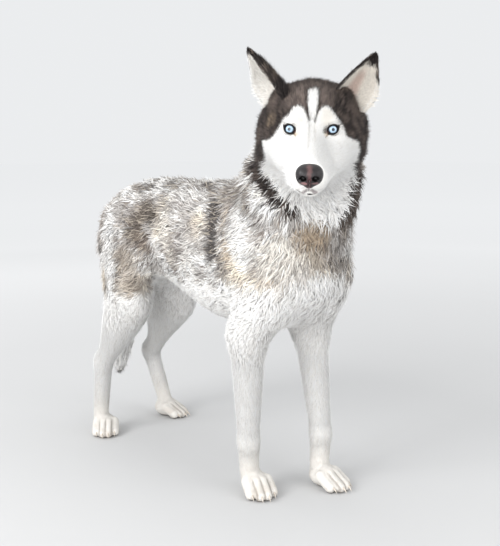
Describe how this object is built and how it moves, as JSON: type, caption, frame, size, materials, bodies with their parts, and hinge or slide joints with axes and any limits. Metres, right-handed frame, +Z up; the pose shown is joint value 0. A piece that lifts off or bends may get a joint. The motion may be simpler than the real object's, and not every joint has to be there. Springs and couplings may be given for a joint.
{
  "type": "siberian husky",
  "caption": "Life-size Siberian husky, a still model standing on all fours, head turned to its right, ears up, tail hanging, grey and white coat.",
  "frame": {"origin": "on the floor, under the middle of the husky's box", "axes": "+Z up, -Y the way the body faces, +X the husky's left"},
  "size_m": [0.3232, 0.8534, 0.7772],
  "materials": {
    "coat_grey": "soft grey, cream and white fur, darker along the back",
    "coat_white": "soft white fur",
    "coat_dark": "short dark brown-black fur, cream inside the cups",
    "nose": "moist, finely grained dark grey with a pinkish middle",
    "eye": "wet and clear over a pale ice-blue iris with a dark rim",
    "claw": "pale horn, slightly worn"
  },
  "bodies": {
    "root": {"head": "coat_grey", "torso": "coat_grey", "neck": "coat_grey", "front_leg_left": "coat_white", "hind_leg_left": "coat_white", "front_leg_right": "coat_white", "hind_leg_right": "coat_white", "front_paw_left": "coat_white", "front_claw_left_1": "claw", "front_claw_left_2": "claw", "front_claw_left_3": "claw", "front_claw_left_4": "claw", "hind_paw_left": "coat_white", "hind_claw_left_1": "claw", "hind_claw_left_2": "claw", "hind_claw_left_3": "claw", "hind_claw_left_4": "claw", "front_paw_right": "coat_white", "front_claw_right_1": "claw", "front_claw_right_2": "claw", "front_claw_right_3": "claw", "front_claw_right_4": "claw", "hind_paw_right": "coat_white", "hind_claw_right_1": "claw", "hind_claw_right_2": "claw", "hind_claw_right_3": "claw", "hind_claw_right_4": "claw", "tail": "coat_grey", "ear_left": "coat_dark", "eye_left": "eye", "ear_right": "coat_dark", "eye_right": "eye", "nose": "nose"}
  },
  "joints": []
}
